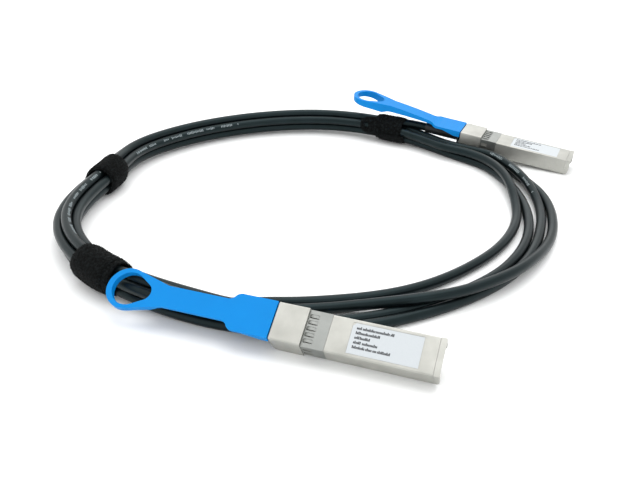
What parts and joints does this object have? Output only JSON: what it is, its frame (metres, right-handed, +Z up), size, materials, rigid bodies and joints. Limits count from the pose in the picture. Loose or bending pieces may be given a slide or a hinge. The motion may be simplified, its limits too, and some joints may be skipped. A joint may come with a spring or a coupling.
{
  "type": "direct attach copper cable",
  "caption": "Coiled twinax cable with a metal pluggable module, a spring collar and a blue pull tab on each end, tied with hook-and-loop straps.",
  "frame": {"origin": "on the surface it lies on, at the middle of the box round the two plugs and the three ties", "axes": "+Z up; +X to the right along the coil towards the plugs' tips; +Y away from the near plug, towards the far plug"},
  "size_m": [0.2489, 0.2328, 0.0244],
  "materials": {
    "housing": "satin nickel plate over a zinc casting",
    "collar": "satin stamped steel",
    "label": "satin film",
    "card": "solder mask",
    "gold": "gold plate",
    "pair": "foil wrapped pair",
    "ferrule": "bright tin plate",
    "boot": "satin black sleeve",
    "steel": "spring steel",
    "screw": "zinc plate",
    "tab": "satin blue moulding",
    "strap": "looped fabric",
    "jacket": "satin jacket"
  },
  "bodies": {
    "cable": {"near_upper_housing": "housing", "near_lower_housing": "housing", "near_emi_collar": "collar", "near_label": "label", "near_paddle_card": "card", "near_contact_pads": "gold", "near_core_pairs": "pair", "near_crimp_ferrule": "ferrule", "near_cable_boot": "boot", "near_return_springs": "steel", "near_housing_screws": "screw", "far_upper_housing": "housing", "far_lower_housing": "housing", "far_emi_collar": "collar", "far_label": "label", "far_paddle_card": "card", "far_contact_pads": "gold", "far_core_pairs": "pair", "far_crimp_ferrule": "ferrule", "far_cable_boot": "boot", "far_return_springs": "steel", "far_housing_screws": "screw", "tie_front": "strap", "tie_left": "strap", "tie_back": "strap", "cable_coil": "jacket", "near_cable_tail": "jacket", "far_cable_tail": "jacket"},
    "near_release": {"near_release_slide": "steel", "near_pull_tab": "tab"},
    "far_release": {"far_release_slide": "steel", "far_pull_tab": "tab"}
  },
  "joints": [
    {"name": "near_release", "type": "slide", "parent": "cable", "child": "near_release", "axis": [-0.9485, 0.3166, 0.0073], "range_m": [0, 0.002], "stiffness_N_per_m": 300, "springref_m": -0.002, "deforming": ["near_return_springs"]},
    {"name": "far_release", "type": "slide", "parent": "cable", "child": "far_release", "axis": [-0.9042, 0.4195, 0.0802], "range_m": [0, 0.002], "stiffness_N_per_m": 300, "springref_m": -0.002, "deforming": ["far_return_springs"]}
  ]
}
